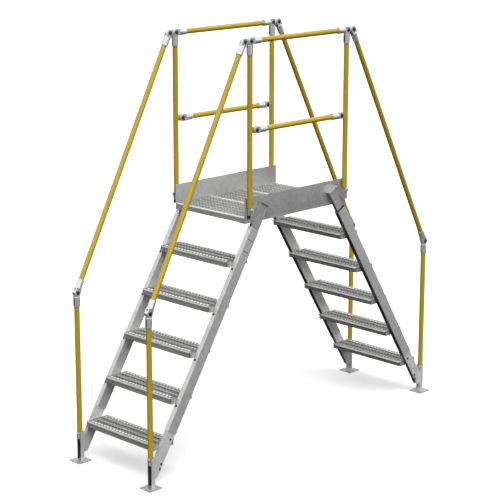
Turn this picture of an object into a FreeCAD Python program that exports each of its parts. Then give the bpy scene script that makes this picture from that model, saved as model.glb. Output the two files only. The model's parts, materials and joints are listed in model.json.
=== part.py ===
import FreeCAD, Part
import math
import os

import Sketcher
from FreeCAD import Placement, Rotation, Vector

# Crossover platform: two short stair flights and a deck between them, in bolted
# galvanised channel, with tube rails held by swivel fittings.
# X runs along the walkway, near side is -Y, Z is up, and the origin is on the
# floor at the middle of the platform. All sizes are millimetres.

SIZES = (
    ("deck_height", 1524.0, "floor to the walking face of the deck"),
    ("rise_count", 6, "rises from the floor to the deck"),
    ("step_run", 159.4, "going from nosing to nosing"),
    ("clear_width", 614.0, "between the inner faces of the stringers"),
    ("plank_count", 3, "planks in the deck"),
    ("plank_width", 303.0, "one deck plank along the walkway"),
    ("plank_gap", 1.5, "joint between deck planks"),
    ("deck_overhang", 13.0, "deck's end edge beyond the line of the tread nosings"),
    ("tread_depth", 162.0, "nosing to back of a tread"),
    ("pan_height", 33.5, "skirt height of treads and planks"),
    ("pan_sheet", 2.5, "sheet of treads and planks"),
    ("pan_corner", 9.0, "corner radius of a pan seen from above"),
    ("pan_clearance", 0.3, "gap between a pan's end and the channel beside it"),
    ("channel_sheet", 3.0, "sheet of stringers, stubs, legs and side beams"),
    ("bend_sheets", 1.5, "outside bend radius of a channel, in sheets"),
    ("stringer_depth", 75.0, "stringer tube square to the slope"),
    ("stringer_width", 33.0, "stringer tube across the platform"),
    ("stringer_setback", 38.0, "nosing line to the stringer's front face"),
    ("stringer_top_drop", 39.0, "stringer's top end below the deck nosing, along the slope"),
    ("stringer_end_gap", 116.4, "lowest nosing up to the stringer's lower end, along the slope"),
    ("nest_clearance", 0.3, "gap between a nested channel and the stringer"),
    ("stub_rise", 127.0, "stub's top end above the deck nosing, along the slope"),
    ("stub_length", 318.0, "stub along the slope"),
    ("stub_cap_width", 38.0, "cap on the stub's top end, out from its web"),
    ("stub_cap_joint", 2.0, "open joint between the cap's two leaves"),
    ("toe_height", 122.0, "side beam's top edge above the deck"),
    ("side_overhang", 6.0, "side beam's end beyond the deck's end edge"),
    ("side_flange", 50.0, "side beam's bottom flange under the planks"),
    ("ledge_sheet", 3.0, "side beam's bottom flange sheet"),
    ("post_inset", 18.7, "deck's end edge in to a platform post's axis"),
    ("foot_reach", 37.0, "lowest nosing out to a lower post's axis"),
    ("tube_diameter", 33.4, "rail and post tube outside"),
    ("tube_wall", 3.4, "tube wall"),
    ("post_gap", 0.5, "gap between a post and the side beam"),
    ("bracket_width", 36.0, "post bracket across the platform"),
    ("bracket_depth", 26.0, "post bracket along the walkway"),
    ("bracket_back", 16.7, "post axis to the back of its bracket"),
    ("bracket_drop", 8.0, "bracket's lower end below the deck"),
    ("platform_post_bottom", 66.0, "platform post's lower end above the deck"),
    ("post_seat_gap", 1.0, "bracket's top to the post's lower end"),
    ("spigot_clearance", 0.3, "gap between a spigot and the tube's bore"),
    ("spigot_length", 60.0, "spigot inside the tube"),
    ("spigot_below", 50.0, "spigot below the tube's end"),
    ("foot_post_bottom", 197.0, "lower post's bottom end above the floor"),
    ("plate_size", 100.0, "foot plate, square"),
    ("plate_thickness", 6.0, "foot plate"),
    ("plate_hole", 14.0, "anchor hole in a foot plate"),
    ("plate_hole_inset", 18.0, "anchor hole from the plate's edges"),
    ("leg_top_lap", 33.0, "leg inside the stringer's lower end"),
    ("leg_bottom", 58.0, "lowest point of the leg above the floor"),
    ("leg_corner", 22.0, "radius of the leg's lower rear corner"),
    ("leg_return_bottom", 92.0, "lower end of the leg's front flange, turned down its upright"),
    ("rail_height", 1082.0, "top rail's axis above the deck"),
    ("mid_rail_height", 540.0, "middle rail's axis above the deck"),
    ("mid_pivot_inset", 50.0, "middle rail's bolt inside the post axis"),
    ("elbow_height", 1089.0, "lower swivel bolt above the floor"),
    ("corner_pitch", 53.0, "between the two bolts of a corner fitting"),
    ("socket_diameter", 42.0, "sockets of the rail fittings outside"),
    ("socket_clearance", 0.2, "gap between a tube and its socket"),
    ("socket_start", 28.0, "swivel bolt to the near end of a socket"),
    ("socket_end", 84.0, "swivel bolt to the open end of a socket"),
    ("tube_end", 32.0, "swivel bolt to the end of the tube in its socket"),
    ("eye_diameter", 42.0, "round eye of a swivel fitting"),
    ("eye_width", 30.0, "eye along its bolt"),
    ("saddle_depth", 30.0, "web between the two eyes of a corner fitting"),
    ("neck_lap", 1.0, "tongue's neck let into its socket"),
    ("cut_past", 1.0, "holes and bores cut past the faces they open"),
    ("tongue_width", 12.0, "tongue between the ears of an eye"),
    ("tongue_clearance", 0.3, "gap between a tongue and the ears beside it"),
    ("bolt_diameter", 9.5, "swivel bolt shank"),
    ("bolt_head", 17.0, "swivel bolt head across"),
    ("bolt_head_height", 6.0, "swivel bolt head"),
    ("tab_thickness", 8.0, "welded tab for the middle rail"),
    ("tab_height", 32.0, "welded tab for the middle rail"),
    ("tab_flat", 1.0, "straight left at the rounded end of a tab"),
)


class Size:
    """A number together with the spreadsheet expression it comes from."""

    def __init__(self, value, text):
        self.value = float(value)
        self.text = text

    @staticmethod
    def of(other):
        return other if isinstance(other, Size) else Size(other, repr(float(other)))

    def combine(self, sign, other, value):
        return Size(value, "(%s %s %s)" % (self.text, sign, other.text))

    def __add__(self, other):
        other = Size.of(other)
        return self.combine("+", other, self.value + other.value)

    def __sub__(self, other):
        other = Size.of(other)
        return self.combine("-", other, self.value - other.value)

    def __mul__(self, other):
        other = Size.of(other)
        return self.combine("*", other, self.value * other.value)

    def __truediv__(self, other):
        other = Size.of(other)
        return self.combine("/", other, self.value / other.value)

    def __neg__(self):
        return Size(0.0, "0") - self

    def root(self):
        return Size(math.sqrt(self.value), "sqrt(%s)" % self.text)

    def __float__(self):
        return self.value


doc = FreeCAD.newDocument("CrossoverPlatform")
sheet = doc.addObject("Spreadsheet::Sheet", "Sizes")
S = {}
for row, (alias, value, meaning) in enumerate(SIZES, 1):
    sheet.set("A%d" % row, alias)
    sheet.set("B%d" % row, repr(float(value)))
    sheet.set("C%d" % row, meaning)
    sheet.setAlias("B%d" % row, alias)
    S[alias] = Size(value, "Sizes.%s" % alias)
doc.recompute()

NODES = []
MIRROR_X = Vector(1, 0, 0)
MIRROR_Y = Vector(0, 1, 0)
ENDS = ("left", "right")
SAME_PLACE = 0.01

# Places that follow from the driving sizes.

rise = S["deck_height"] / S["rise_count"]
pitch = (rise * rise + S["step_run"] * S["step_run"]).root()
slope_x = S["step_run"] / pitch
slope_z = rise / pitch
web_inner = S["clear_width"] / 2
web_outer = web_inner + S["channel_sheet"]
tube_radius = S["tube_diameter"] / 2
tube_bore = tube_radius - S["tube_wall"]
post_y = web_outer + S["post_gap"] + tube_radius
deck_half_length = (S["plank_width"] * S["plank_count"]
                    + S["plank_gap"] * (S["plank_count"] - 1)) / 2
nosing_start = deck_half_length - S["deck_overhang"]
side_half_length = deck_half_length + S["side_overhang"]
post_half_spacing = deck_half_length - S["post_inset"]
stringer_pan = web_inner - S["pan_clearance"]
leg_pan = web_outer - S["pan_clearance"]
nested_depth = S["stringer_depth"] - (S["channel_sheet"] + S["nest_clearance"]) * 2
nested_flange = S["stringer_width"] - S["channel_sheet"] * 2 - S["nest_clearance"]
stringer_middle = -(S["stringer_setback"] + S["stringer_depth"] / 2)
flight_steps = S["rise_count"] - 1
stringer_bottom = S["stringer_end_gap"] - pitch * flight_steps
stringer_length = -(stringer_bottom + S["stringer_top_drop"])
rail_z = S["deck_height"] + S["rail_height"]
mid_rail_z = S["deck_height"] + S["mid_rail_height"]
corner_x = -post_half_spacing
stair_pivot_x = corner_x - S["corner_pitch"]
foot_x = -(nosing_start + S["step_run"] * flight_steps + S["foot_reach"])
stair_run = stair_pivot_x - foot_x
stair_rise = rail_z - S["elbow_height"]
up_rail = Vector(float(stair_run), 0, float(stair_rise)).normalize()


def on_slope(along, out):
    """X and Z at a distance along the left flight's nosing line and out from it."""
    x = slope_x * along - slope_z * out - nosing_start
    z = slope_z * along + slope_x * out + S["deck_height"]
    return x, z


def bind(item, prop, size):
    """Set a property and tie it to the spreadsheet."""
    item.setExpression(prop, Size.of(size).text)


def keep(item, label):
    """Name a finished piece as one of the platform's pieces."""
    item.Label = label
    NODES.append(item)
    return item


def plane_of(body, role):
    return [part for part in body.Origin.OriginFeatures if part.Role == role][0]


def new_sketch(body, name, role, offset=None):
    sketch = body.newObject("Sketcher::SketchObject", name)
    sketch.AttachmentSupport = [(plane_of(body, role), "")]
    sketch.MapMode = "FlatFace"
    if offset is not None:
        sketch.AttachmentOffset = Placement(Vector(0, 0, float(offset)), Rotation())
        bind(sketch, "AttachmentOffset.Base.z", offset)
    return sketch


def hold(sketch, index, position, point):
    """Fix one point of a sketch to sizes, measured from the sketch's origin."""
    for kind, size, axis in (("DistanceX", point[0], -2), ("DistanceY", point[1], -1)):
        if isinstance(size, Size):
            made = sketch.addConstraint(Sketcher.Constraint(kind, -1, 1, index, position, size.value))
            sketch.setExpression("Constraints[%d]" % made, size.text)
        else:
            sketch.addConstraint(Sketcher.Constraint("PointOnObject", index, position, axis))


def polygon(sketch, points):
    """Closed outline through points of sizes; None stands for zero."""
    places = [Vector(float(x or 0.0), float(y or 0.0), 0) for x, y in points]
    count = len(points)
    first = sketch.GeometryCount
    for index in range(count):
        sketch.addGeometry(Part.LineSegment(places[index], places[(index + 1) % count]), False)
    for index in range(count):
        following = first + (index + 1) % count
        sketch.addConstraint(Sketcher.Constraint("Coincident", first + index, 2, following, 1))
    for index, point in enumerate(points):
        hold(sketch, first + index, 1, point)


def circle(sketch, centre, radius):
    """Circle at a point of sizes."""
    middle = Vector(float(centre[0] or 0.0), float(centre[1] or 0.0), 0)
    index = sketch.addGeometry(Part.Circle(middle, Vector(0, 0, 1), float(radius)), False)
    hold(sketch, index, 3, centre)
    made = sketch.addConstraint(Sketcher.Constraint("Radius", index, float(radius)))
    sketch.setExpression("Constraints[%d]" % made, radius.text)


def pad(body, sketch, length, midplane=False, reverse=False):
    feature = body.newObject("PartDesign::Pad", sketch.Name + "_pad")
    feature.Profile = sketch
    feature.Length = float(length)
    bind(feature, "Length", length)
    feature.Midplane = midplane
    feature.Reversed = reverse
    return feature


def new_body(name):
    return doc.addObject("PartDesign::Body", name)


def edges_along(shape, direction, test=None):
    """Names of the straight edges that run along a direction."""
    names = []
    for number, edge in enumerate(shape.Edges, 1):
        if not isinstance(edge.Curve, Part.Line):
            continue
        run = edge.Vertexes[-1].Point - edge.Vertexes[0].Point
        if run.cross(direction).Length < SAME_PLACE and (test is None or test(edge)):
            names.append("Edge%d" % number)
    return names


def round_edges(body, base, direction, radius, test=None):
    doc.recompute()
    feature = body.newObject("PartDesign::Fillet", base.Name + "_round")
    feature.Base = (base, edges_along(base.Shape, direction, test))
    feature.Radius = float(radius)
    bind(feature, "Radius", radius)
    return feature


def channel(name, depth, flange, sheet_size, length):
    """Channel with its web on the YZ side, flanges towards -Y, standing along Z."""
    body = new_body(name)
    sketch = new_sketch(body, name + "_profile", "XY_Plane")
    half = depth / 2
    inner = half - sheet_size
    polygon(sketch, [
        (-half, None), (half, None), (half, -flange), (inner, -flange),
        (inner, -sheet_size), (-inner, -sheet_size), (-inner, -flange), (-half, -flange)])
    base = pad(body, sketch, length)
    round_edges(body, base, Vector(0, 0, 1), sheet_size * S["bend_sheets"],
                lambda edge: abs(edge.CenterOfMass.y) < SAME_PLACE)
    return body


def box_tube(name, depth, width, sheet_size, length):
    """Rectangular tube with one side on the YZ side, its width towards -Y, standing along Z."""
    body = new_body(name)
    sketch = new_sketch(body, name + "_profile", "XY_Plane")
    half = depth / 2
    inner = half - sheet_size
    polygon(sketch, [(-half, None), (half, None), (half, -width), (-half, -width)])
    polygon(sketch, [(-inner, -sheet_size), (inner, -sheet_size),
                     (inner, sheet_size - width), (-inner, sheet_size - width)])
    base = pad(body, sketch, length)
    round_edges(body, base, Vector(0, 0, 1), sheet_size,
                lambda edge: abs(abs(edge.CenterOfMass.x) - float(half)) < SAME_PLACE)
    return body


def place(item, x, y, z, direction=Vector(0, 0, 1)):
    """Put a piece made along Z at a point, along a direction in the XZ plane."""
    item.Placement = Placement(Vector(0, 0, 0), Rotation(Vector(0, 0, 1), direction))
    for axis, size in (("x", x), ("y", y), ("z", z)):
        if size is not None:
            bind(item, "Placement.Base.%s" % axis, size)
    return item


def along_flight(body, along, y):
    """Stand a channel on the left flight's slope, in line with its stringer."""
    x, z = on_slope(along, stringer_middle)
    place(body, x, y, z, Vector(float(slope_x), 0, float(slope_z)))


def mirrored(source, label, normal):
    item = doc.addObject("Part::Mirroring", label)
    item.Source = source
    item.Base = Vector(0, 0, 0)
    item.Normal = normal
    return keep(item, label)


def four_corners(source, stem):
    """The near left piece and its three reflections."""
    keep(source, "%s_near_left" % stem)
    right = mirrored(source, "%s_near_right" % stem, MIRROR_X)
    mirrored(source, "%s_far_left" % stem, MIRROR_Y)
    mirrored(right, "%s_far_right" % stem, MIRROR_Y)


def two_sides(source, stem):
    keep(source, "%s_near" % stem)
    mirrored(source, "%s_far" % stem, MIRROR_Y)


def pan(name, width, half_span):
    """Folded walking pan: level top, skirts all round, open underneath."""
    body = new_body(name)
    sketch = new_sketch(body, name + "_plan", "XY_Plane")
    polygon(sketch, [
        (None, -half_span), (width, -half_span), (width, half_span), (None, half_span)])
    block = pad(body, sketch, S["pan_height"], reverse=True)
    rounded = round_edges(body, block, Vector(0, 0, 1), S["pan_corner"])
    doc.recompute()
    bottom = min(rounded.Shape.Faces, key=lambda face: face.CenterOfMass.z)
    number = [face.isSame(bottom) for face in rounded.Shape.Faces].index(True) + 1
    shell = body.newObject("PartDesign::Thickness", name + "_shell")
    shell.Base = (rounded, ["Face%d" % number])
    shell.Value = float(S["pan_sheet"])
    bind(shell, "Value", S["pan_sheet"])
    shell.Reversed = True
    return body


def make_treads():
    """Treads between the stringers; the lowest is between the legs, outside the webs."""
    for number in range(1, int(float(S["rise_count"]))):
        steps_below = S["rise_count"] - number
        nosing = nosing_start + S["step_run"] * steps_below
        for end in ENDS:
            label = "tread_%s_%d" % (end, number)
            body = pan(label, S["tread_depth"], leg_pan if number == 1 else stringer_pan)
            if end == "left":
                bind(body, "Placement.Base.x", -nosing)
            else:
                bind(body, "Placement.Base.x", nosing - S["tread_depth"])
            bind(body, "Placement.Base.z", rise * number)
            keep(body, label)


def make_deck():
    for number in range(int(float(S["plank_count"]))):
        label = "deck_plank_%d" % (number + 1)
        body = pan(label, S["plank_width"], stringer_pan)
        start = (S["plank_width"] + S["plank_gap"]) * number - deck_half_length
        bind(body, "Placement.Base.x", start)
        bind(body, "Placement.Base.z", S["deck_height"])
        keep(body, label)


def make_stringers():
    body = box_tube("stringer", S["stringer_depth"], S["stringer_width"],
                    S["channel_sheet"], stringer_length)
    along_flight(body, stringer_bottom, -web_inner)
    four_corners(body, "stringer")


def make_stubs():
    """Sloped channels that carry the flights on the side beams, capped at their top ends."""
    body = channel("leg_stub", nested_depth, nested_flange, S["channel_sheet"], S["stub_length"])
    half = S["stringer_depth"] / 2
    leaf = (S["stub_cap_width"] - S["stub_cap_joint"]) / 2
    for name, near, far in (("inner", None, -leaf),
                            ("outer", leaf - S["stub_cap_width"], -S["stub_cap_width"])):
        cap = new_sketch(body, "stub_cap_%s" % name, "XY_Plane", S["stub_length"])
        polygon(cap, [(-half, near), (half, near), (half, far), (-half, far)])
        pad(body, cap, S["channel_sheet"])
    along_flight(body, S["stub_rise"] - S["stub_length"], -web_outer)
    four_corners(body, "leg_stub")


def bracket_profile(sketch, back, outward):
    """U section of a post bracket on the side beam's face, open towards the stairs."""
    open_edge = back + S["bracket_depth"] * outward
    inside = back + S["channel_sheet"] * outward
    inner = web_outer + S["channel_sheet"]
    outer = web_outer + S["bracket_width"]
    polygon(sketch, [
        (open_edge, -web_outer), (back, -web_outer), (back, -outer), (open_edge, -outer),
        (open_edge, S["channel_sheet"] - outer), (inside, S["channel_sheet"] - outer),
        (inside, -inner), (open_edge, -inner)])


def add_post_seat(body, stem, post_x, outward, bottom, post_bottom):
    """Bracket and spigot that a post stands on."""
    upright = new_sketch(body, "%s_upright" % stem, "XY_Plane", bottom)
    bracket_profile(upright, post_x - S["bracket_back"] * outward, outward)
    pad(body, upright, post_bottom - S["post_seat_gap"] - bottom)
    spigot = new_sketch(body, "%s_spigot" % stem, "XY_Plane", post_bottom - S["spigot_below"])
    circle(spigot, (post_x, -post_y), tube_bore - S["spigot_clearance"])
    pad(body, spigot, S["spigot_below"] + S["spigot_length"])


def make_side_beams():
    body = new_body("side_beam")
    top = S["deck_height"] + S["toe_height"]
    bottom = S["deck_height"] - S["pan_height"] - S["ledge_sheet"]
    ledge_top = bottom + S["ledge_sheet"]
    tuck = S["side_flange"] - web_outer
    profile = new_sketch(body, "side_beam_profile", "YZ_Plane")
    polygon(profile, [
        (-web_outer, bottom), (tuck, bottom), (tuck, ledge_top),
        (-web_inner, ledge_top), (-web_inner, top), (-web_outer, top)])
    pad(body, profile, side_half_length * 2, midplane=True)
    seat = S["deck_height"] - S["bracket_drop"]
    for end, outward in (("left", -1), ("right", 1)):
        add_post_seat(body, "side_%s" % end, post_half_spacing * outward, outward,
                      seat, S["deck_height"] + S["platform_post_bottom"])
    two_sides(body, "side_beam")


def make_feet():
    body = new_body("foot")
    half = S["plate_size"] / 2
    plate = new_sketch(body, "foot_plate", "XY_Plane")
    polygon(plate, [
        (foot_x - half, -(post_y + half)), (foot_x + half, -(post_y + half)),
        (foot_x + half, half - post_y), (foot_x - half, half - post_y)])
    reach = half - S["plate_hole_inset"]
    for dx, dy in ((-1, -1), (1, -1), (1, 1), (-1, 1)):
        circle(plate, (foot_x + reach * dx, reach * dy - post_y), S["plate_hole"] / 2)
    pad(body, plate, S["plate_thickness"])
    add_post_seat(body, "foot", foot_x, -1, S["plate_thickness"], S["foot_post_bottom"])
    add_leg(body)
    four_corners(body, "foot")


def add_leg(body):
    """Leg plate with turned flanges, from inside the stringer down to the upright."""
    front_out = -(S["stringer_setback"] + S["channel_sheet"] + S["nest_clearance"])
    rear_out = front_out - nested_depth
    top = stringer_bottom + S["leg_top_lap"]
    back = foot_x + S["bracket_back"]
    low = S["leg_bottom"]

    def along_at_z(out, z):
        return (z - on_slope(0, out)[1]) / slope_z

    def along_at_x(out, x):
        return (x - on_slope(0, out)[0]) / slope_x

    rear_end = along_at_z(rear_out, low)
    front_end = along_at_x(front_out, back)
    plate = new_sketch(body, "leg_plate", "XZ_Plane", web_outer)
    polygon(plate, [
        on_slope(top, rear_out), on_slope(top, front_out), on_slope(front_end, front_out),
        (back, low), on_slope(rear_end, rear_out)])
    web = pad(body, plate, S["channel_sheet"])
    round_edges(body, web, Vector(0, 1, 0), S["leg_corner"], lambda edge:
                abs(edge.CenterOfMass.z - float(low)) < SAME_PLACE
                and abs(edge.CenterOfMass.x - float(on_slope(rear_end, rear_out)[0])) < SAME_PLACE)
    rear_flange_end = rear_end + S["leg_corner"]
    inset = S["channel_sheet"]
    for name, out, side, end in (("front", front_out, -1, front_end),
                                 ("rear", rear_out, 1, rear_flange_end)):
        strip = new_sketch(body, "leg_flange_%s" % name, "XZ_Plane", web_outer)
        inner = out + inset * side
        polygon(strip, [on_slope(top, out), on_slope(top, inner),
                        on_slope(end, inner), on_slope(end, out)])
        pad(body, strip, nested_flange)
    corner_z = on_slope(front_end, front_out)[1]
    turned = new_sketch(body, "leg_flange_return", "XZ_Plane", web_outer)
    polygon(turned, [(back, S["leg_return_bottom"]), (back + inset, S["leg_return_bottom"]),
                     (back + inset, corner_z), (back, corner_z)])
    pad(body, turned, nested_flange)


def tube(name, length):
    """Round tube standing along Z."""
    body = new_body(name)
    sketch = new_sketch(body, name + "_section", "XY_Plane")
    circle(sketch, (None, None), tube_radius)
    circle(sketch, (None, None), tube_bore)
    pad(body, sketch, length)
    return body


def make_posts():
    bottom = S["foot_post_bottom"]
    length = S["elbow_height"] - S["tube_end"] - bottom
    four_corners(place(tube("lower_post", length), foot_x, -post_y, bottom), "lower_post")

    bottom = S["deck_height"] + S["platform_post_bottom"]
    post = tube("platform_post", rail_z - S["tube_end"] - bottom)
    tab = new_sketch(post, "post_tab", "XZ_Plane")
    middle = mid_rail_z - bottom
    half = S["tab_height"] / 2
    reach = S["mid_pivot_inset"] + half
    weld = tube_radius - S["tube_wall"] / 2
    polygon(tab, [
        (weld, middle - half), (reach, middle - half), (reach, middle + half), (weld, middle + half)])
    circle(tab, (S["mid_pivot_inset"], middle), S["bolt_diameter"] / 2 + S["tongue_clearance"])
    plate = pad(post, tab, S["tab_thickness"], midplane=True)
    round_edges(post, plate, Vector(0, 1, 0), half - S["tab_flat"] / 2,
                lambda edge: abs(edge.CenterOfMass.x - float(reach)) < SAME_PLACE)
    four_corners(place(post, corner_x, -post_y, bottom), "platform_post")


def make_rails():
    level = Vector(1, 0, 0)
    start = corner_x + S["tube_end"]
    two_sides(place(tube("top_rail", -start * 2), start, -post_y, rail_z, level), "top_rail")
    start = corner_x + S["mid_pivot_inset"] + S["tube_end"]
    two_sides(place(tube("mid_rail", -start * 2), start, -post_y, mid_rail_z, level), "mid_rail")
    span = (stair_run * stair_run + stair_rise * stair_rise).root()
    length = span - S["tube_end"] * 2
    x = foot_x + stair_run * S["tube_end"] / span
    z = S["elbow_height"] + stair_rise * S["tube_end"] / span
    four_corners(place(tube("stair_rail", length), x, -post_y, z, up_rail), "stair_rail")


def cylinder(name, diameter, length, base=(None, None, None), turn=None):
    item = doc.addObject("Part::Cylinder", name)
    item.Placement = Placement(Vector(0, 0, 0), turn or Rotation())
    bind(item, "Radius", Size.of(diameter) / 2)
    bind(item, "Height", length)
    for axis, size in zip("xyz", base):
        if size is not None:
            bind(item, "Placement.Base.%s" % axis, size)
    return item


def block(name, width, depth, height, base):
    item = doc.addObject("Part::Box", name)
    for prop, size in (("Length", width), ("Width", depth), ("Height", height)):
        bind(item, prop, size)
    for axis, size in zip("xyz", base):
        if size is not None:
            bind(item, "Placement.Base.%s" % axis, size)
    return item


def fused(name, items):
    item = doc.addObject("Part::MultiFuse", name)
    item.Shapes = items
    return item


def less(name, base, tool):
    item = doc.addObject("Part::Cut", name)
    item.Base = base
    item.Tool = tool
    return item


ALONG_Y = Rotation(Vector(1, 0, 0), -90)


def sleeve(stem):
    """Outside of a tube socket, from near its swivel bolt to its open end."""
    return cylinder("%s_sleeve" % stem, S["socket_diameter"], S["socket_end"] - S["socket_start"],
                    (None, None, S["socket_start"]))


def bore(stem):
    return cylinder("%s_bore" % stem, S["tube_diameter"] + S["socket_clearance"] * 2,
                    S["socket_end"] - S["tube_end"] + S["cut_past"],
                    (None, None, S["tube_end"] - S["socket_clearance"]))


def bolt_hole(stem, x=None):
    width = S["eye_width"] + S["cut_past"] * 2
    return cylinder("%s_hole" % stem, S["bolt_diameter"] + S["tongue_clearance"] * 2, width,
                    (x, -width / 2, None), ALONG_Y)


def eared_socket(stem):
    """Socket with two ears round a swivel bolt along Y; the socket runs along Z."""
    half = S["eye_width"] / 2
    across = S["eye_diameter"]
    eye = cylinder("%s_eye" % stem, across, S["eye_width"], (None, -half, None), ALONG_Y)
    neck = block("%s_neck" % stem, across, S["eye_width"], S["socket_start"], (-across / 2, -half, None))
    body = fused("%s_outside" % stem, [eye, neck, sleeve(stem)])
    slot = S["tongue_width"] + S["tongue_clearance"] * 2
    deep = across / 2 + S["tongue_clearance"]
    gap = block("%s_slot" % stem, across * 2, slot, deep * 2, (-across, -slot / 2, -deep))
    tools = fused("%s_inside" % stem, [gap, bore(stem), bolt_hole(stem)])
    return less(stem, body, tools)


def tongued_socket(stem, second_eye=None):
    """Socket with a tongue for one swivel bolt, or two bolts side by side."""
    half = S["tongue_width"] / 2
    across = S["eye_diameter"]
    pieces = [
        cylinder("%s_eye" % stem, across, S["tongue_width"], (None, -half, None), ALONG_Y),
        block("%s_neck" % stem, across, S["tongue_width"], S["socket_start"] + S["neck_lap"],
              (-across / 2, -half, None)),
        sleeve(stem)]
    holes = [bore(stem), bolt_hole(stem)]
    if second_eye is not None:
        pieces.append(cylinder("%s_eye_2" % stem, across, S["tongue_width"],
                               (second_eye, -half, None), ALONG_Y))
        pieces.append(block("%s_saddle" % stem, second_eye, S["tongue_width"], S["saddle_depth"],
                            (None, -half, -S["saddle_depth"] / 2)))
        holes.append(bolt_hole(stem + "_2", second_eye))
    body = fused("%s_outside" % stem, pieces)
    return less(stem, body, fused("%s_inside" % stem, holes))


def swivel_bolt(stem):
    """Bolt along Y through an eye, with its head at the front and its nut behind."""
    half = S["eye_width"] / 2
    head = S["bolt_head_height"]
    seat = half + S["tongue_clearance"]
    turn = ALONG_Y
    return fused(stem, [
        cylinder("%s_shank" % stem, S["bolt_diameter"], (seat + head) * 2, (None, -(seat + head), None), turn),
        cylinder("%s_head" % stem, S["bolt_head"], head, (None, -(seat + head), None), turn),
        cylinder("%s_nut" % stem, S["bolt_head"], head, (None, seat, None), turn)])


def gathered(label, items):
    group = doc.addObject("Part::Compound", label)
    group.Links = items
    return group


def make_corner_fittings():
    down = Vector(0, 0, -1)
    level = Vector(1, 0, 0)
    post = place(tongued_socket("corner_post_socket", S["corner_pitch"]), corner_x, -post_y, rail_z, down)
    rail = place(eared_socket("corner_rail_socket"), corner_x, -post_y, rail_z, level)
    stair = place(eared_socket("corner_stair_socket"), stair_pivot_x, -post_y, rail_z, -up_rail)
    first = place(swivel_bolt("corner_rail_bolt"), corner_x, -post_y, rail_z)
    second = place(swivel_bolt("corner_stair_bolt"), stair_pivot_x, -post_y, rail_z)
    four_corners(gathered("corner", [post, rail, stair, first, second]), "corner_fitting")


def make_elbow_fittings():
    down = Vector(0, 0, -1)
    where = (foot_x, -post_y, S["elbow_height"])
    post = place(tongued_socket("elbow_post_socket"), *where, down)
    stair = place(eared_socket("elbow_stair_socket"), *where, up_rail)
    bolt = place(swivel_bolt("elbow_bolt"), *where)
    four_corners(gathered("elbow", [post, stair, bolt]), "elbow_fitting")


def make_mid_sockets():
    items = []
    for end, outward in (("left", -1), ("right", 1)):
        where = ((post_half_spacing - S["mid_pivot_inset"]) * outward, -post_y, mid_rail_z)
        items.append(place(eared_socket("mid_socket_%s" % end), *where, Vector(-outward, 0, 0)))
        items.append(place(swivel_bolt("mid_bolt_%s" % end), *where))
    two_sides(gathered("mid", items), "mid_rail_sockets")


def save():
    doc.recompute()
    faults = []
    for item in doc.Objects:
        if "Invalid" in item.State or "Error" in item.State:
            faults.append("%s: %s" % (item.Label, ", ".join(item.State)))
    for item in NODES:
        if item.Shape.isNull() or not item.Shape.isValid():
            faults.append("%s: bad shape" % item.Label)
    if faults:
        raise RuntimeError("; ".join(faults))
    os.makedirs("parts", exist_ok=True)
    for item in NODES:
        item.Shape.exportStep("parts/%s.step" % item.Label)


make_treads()
make_deck()
make_stringers()
make_stubs()
make_side_beams()
make_feet()
make_posts()
make_rails()
make_corner_fittings()
make_elbow_fittings()
make_mid_sockets()
save()
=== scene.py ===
"""Looks of the crossover platform: finishes, pierced treads and planks, bolts and the studio."""

import json
import math

import bmesh
import bpy
from bpy.props import (
    FloatProperty, FloatVectorProperty, IntProperty, PointerProperty)
from mathutils import Matrix, Vector


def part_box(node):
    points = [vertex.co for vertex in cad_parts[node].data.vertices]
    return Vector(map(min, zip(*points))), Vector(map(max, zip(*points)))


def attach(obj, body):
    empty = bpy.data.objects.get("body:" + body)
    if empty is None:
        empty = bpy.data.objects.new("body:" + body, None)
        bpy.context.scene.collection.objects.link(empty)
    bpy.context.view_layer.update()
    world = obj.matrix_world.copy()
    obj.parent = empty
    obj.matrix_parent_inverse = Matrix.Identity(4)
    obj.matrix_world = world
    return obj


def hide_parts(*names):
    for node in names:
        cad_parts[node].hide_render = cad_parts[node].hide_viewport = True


bl_info = {
    "name": "Crossover Platform Looks",
    "version": (1, 0, 0),
    "blender": (4, 5, 0),
    "location": "3D View > Sidebar > Platform",
    "description": "Dresses the platform with its finishes, grip pattern, bolts and studio",
    "category": "Object",
}

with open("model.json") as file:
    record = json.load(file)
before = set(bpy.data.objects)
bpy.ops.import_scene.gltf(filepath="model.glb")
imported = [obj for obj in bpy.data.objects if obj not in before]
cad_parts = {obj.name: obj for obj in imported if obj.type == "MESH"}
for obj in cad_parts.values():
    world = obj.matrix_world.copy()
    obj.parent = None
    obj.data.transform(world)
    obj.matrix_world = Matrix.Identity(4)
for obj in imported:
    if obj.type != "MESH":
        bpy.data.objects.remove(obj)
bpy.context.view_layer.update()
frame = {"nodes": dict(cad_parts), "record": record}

MM = 0.001
BODY = "root"

TREADS = ["tread_%s_%d" % (end, number) for end in ("left", "right") for number in range(1, 6)]
PLANKS = ["deck_plank_%d" % number for number in range(1, 4)]
CORNERS = [(side, end) for side in ("near", "far") for end in ("left", "right")]
Y_SIGN = {"near": -1, "far": 1}
X_SIGN = {"left": -1, "right": 1}

# The flights' slope, the deck's nosing and the pitch of the nosings along the slope.
SLOPE_X, SLOPE_Z = 0.5315, 0.8470
NOSING_X, NOSING_Z, NOSING_PITCH = 0.443, 1.524, 0.2999
# The plane of the posts, the middle of the feet and a fork's half width with its head's gap.
POST_Y, FOOT_X = 0.3272, 1.277
EYE_HALF, EYE_GAP = 0.015, 0.1 * MM
# Middles of the swivel bolts in one quarter: X and Z.
SWIVEL_BOLTS = ((0.4373, 2.606), (0.4903, 2.606), (FOOT_X, 1.089), (0.3873, 2.064))
# Post sockets' pinch slots, drawn as strips of painted shade: X, top Z and the side that they open
# to.
SOCKET_SLOTS = ((FOOT_X, 1.056, 1), (0.4373, 2.573, -1))
SOCKET_RADIUS = 0.0212
SLOT_LENGTH, SLOT_WIDTH, SLOT_STEPS = 0.046, 0.009, 6
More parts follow.
